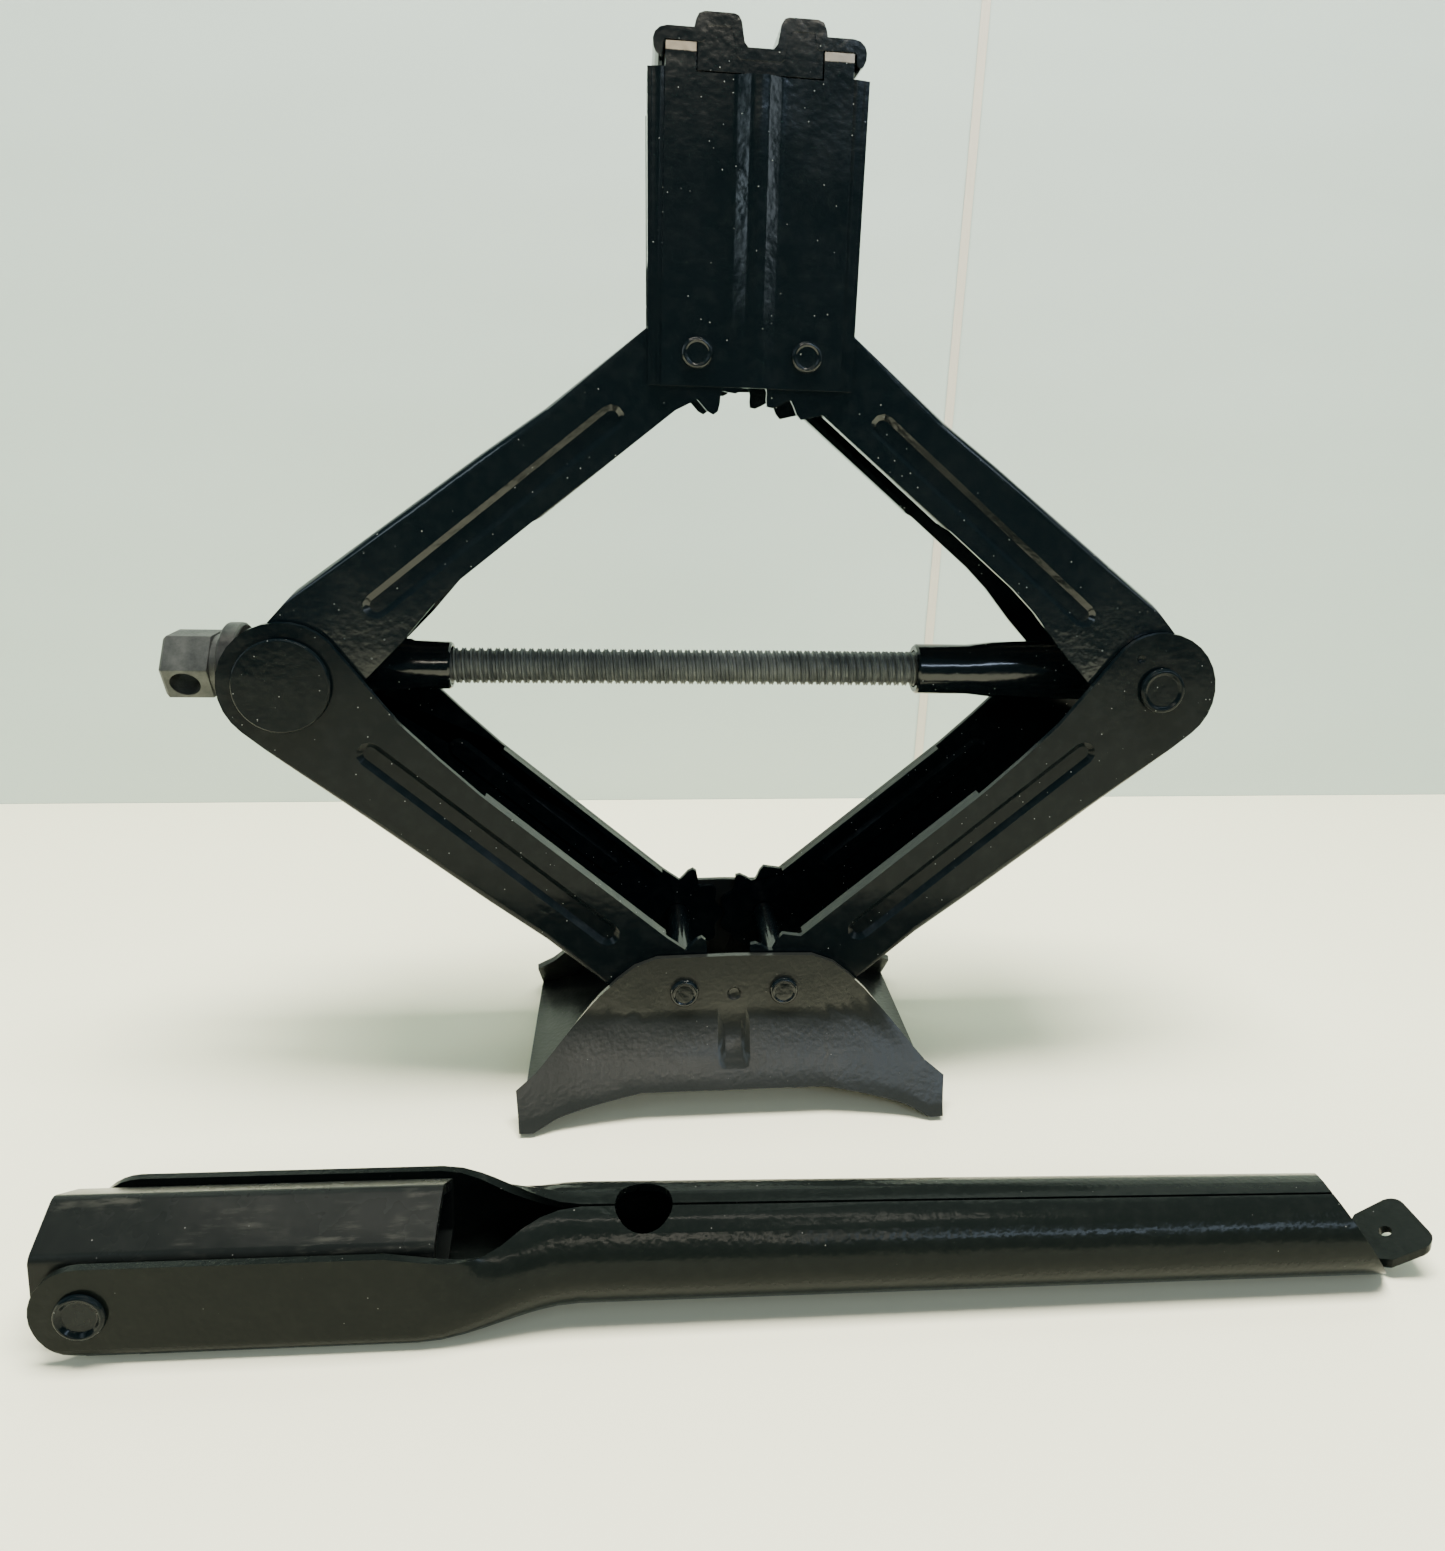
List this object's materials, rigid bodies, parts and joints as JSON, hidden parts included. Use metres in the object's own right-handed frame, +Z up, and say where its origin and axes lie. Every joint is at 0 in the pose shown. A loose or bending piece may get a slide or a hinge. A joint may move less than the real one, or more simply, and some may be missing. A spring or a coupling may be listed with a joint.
{
  "type": "car jack",
  "caption": "Scissor car jack with riveted channel arms, lead screw with hexagon drive, notched saddle and a separate folding-socket handle.",
  "frame": {"origin": "under the middle of the whole set, on the floor", "axes": "+Z up; X along the screw with the drive head at -X; +Y from the handle towards the jack"},
  "size_m": [0.4016, 0.206, 0.369],
  "materials": {
    "black_paint": "gloss black paint",
    "dark_steel": "oiled dark steel",
    "phosphated_steel": "grey phosphated steel"
  },
  "bodies": {
    "base": {"base_plate": "black_paint", "base_pin_left": "black_paint", "base_pin_right": "black_paint"},
    "lower_left": {"lower_arm_left": "black_paint"},
    "lower_right": {"lower_arm_right": "black_paint"},
    "upper_left": {"upper_arm_left": "black_paint"},
    "upper_right": {"upper_arm_right": "black_paint"},
    "tower": {"tower_front_channel": "black_paint", "tower_rear_channel": "black_paint", "saddle_cap": "black_paint", "tower_pin_left": "black_paint", "tower_pin_right": "black_paint"},
    "thrust_block": {"thrust_trunnion": "dark_steel", "thrust_trunnion_disc_front": "black_paint", "thrust_trunnion_disc_rear": "black_paint", "thrust_race": "dark_steel", "thrust_ball_cage": "dark_steel", "screw_guide_sleeve": "black_paint"},
    "nut_block": {"nut_trunnion": "black_paint", "nut_trunnion_rivet_front": "black_paint", "nut_trunnion_rivet_rear": "black_paint", "nut_sleeve": "black_paint"},
    "screw": {"screw_rod": "phosphated_steel", "hex_drive_head": "phosphated_steel", "thrust_collar": "dark_steel"},
    "handle": {"handle_shank": "black_paint", "handle_rivet": "black_paint"},
    "socket": {"socket_tube": "black_paint"}
  },
  "joints": [
    {"name": "fold", "type": "hinge", "parent": "base", "child": "lower_left", "pos_m": [-0.0196, 0.04688, 0.042], "axis": [0, 1, 0], "range_deg": [-29, 28]},
    {"name": "lower_right_pivot", "type": "hinge", "parent": "base", "child": "lower_right", "pos_m": [0.0164, 0.04688, 0.042], "axis": [0, 1, 0], "range_deg": [-28, 29]},
    {"name": "upper_left_pivot", "type": "hinge", "parent": "lower_left", "child": "upper_left", "pos_m": [-0.15405, 0.04688, 0.15402], "axis": [0, 1, 0], "range_deg": [-56, 58]},
    {"name": "upper_right_pivot", "type": "hinge", "parent": "lower_right", "child": "upper_right", "pos_m": [0.15085, 0.04688, 0.15402], "axis": [0, 1, 0], "range_deg": [-58, 56]},
    {"name": "tower_left_pivot", "type": "hinge", "parent": "upper_left", "child": "tower", "pos_m": [-0.0196, 0.04688, 0.26604], "axis": [0, 1, 0], "range_deg": [-29, 28]},
    {"name": "thrust_block_pivot", "type": "hinge", "parent": "lower_left", "child": "thrust_block", "pos_m": [-0.15405, 0.04688, 0.15402], "axis": [0, 1, 0], "range_deg": [-28, 29]},
    {"name": "nut_block_pivot", "type": "hinge", "parent": "lower_right", "child": "nut_block", "pos_m": [0.15085, 0.04688, 0.15402], "axis": [0, 1, 0], "range_deg": [-29, 28]},
    {"name": "screw_turn", "type": "hinge", "parent": "thrust_block", "child": "screw", "pos_m": [-0.15405, 0.04688, 0.15402], "axis": [1, 0, 0], "continuous": true},
    {"name": "handle_lift", "type": "slide", "parent": "base", "child": "handle", "axis": [0, 0, 1], "range_m": [0, 0.1]},
    {"name": "socket_fold", "type": "hinge", "parent": "handle", "child": "socket", "pos_m": [-0.17702, -0.07871, 0.015], "axis": [0.0297, 0.9996, 0], "range_deg": [-105, 0]}
  ],
  "couplings": [
    {"joint": "lower_right_pivot", "follows": "fold", "ratio": -1},
    {"joint": "upper_left_pivot", "follows": "fold", "ratio": -2},
    {"joint": "upper_right_pivot", "follows": "fold", "ratio": 2},
    {"joint": "tower_left_pivot", "follows": "fold", "ratio": 1},
    {"joint": "thrust_block_pivot", "follows": "fold", "ratio": -1},
    {"joint": "nut_block_pivot", "follows": "fold", "ratio": 1}
  ]
}
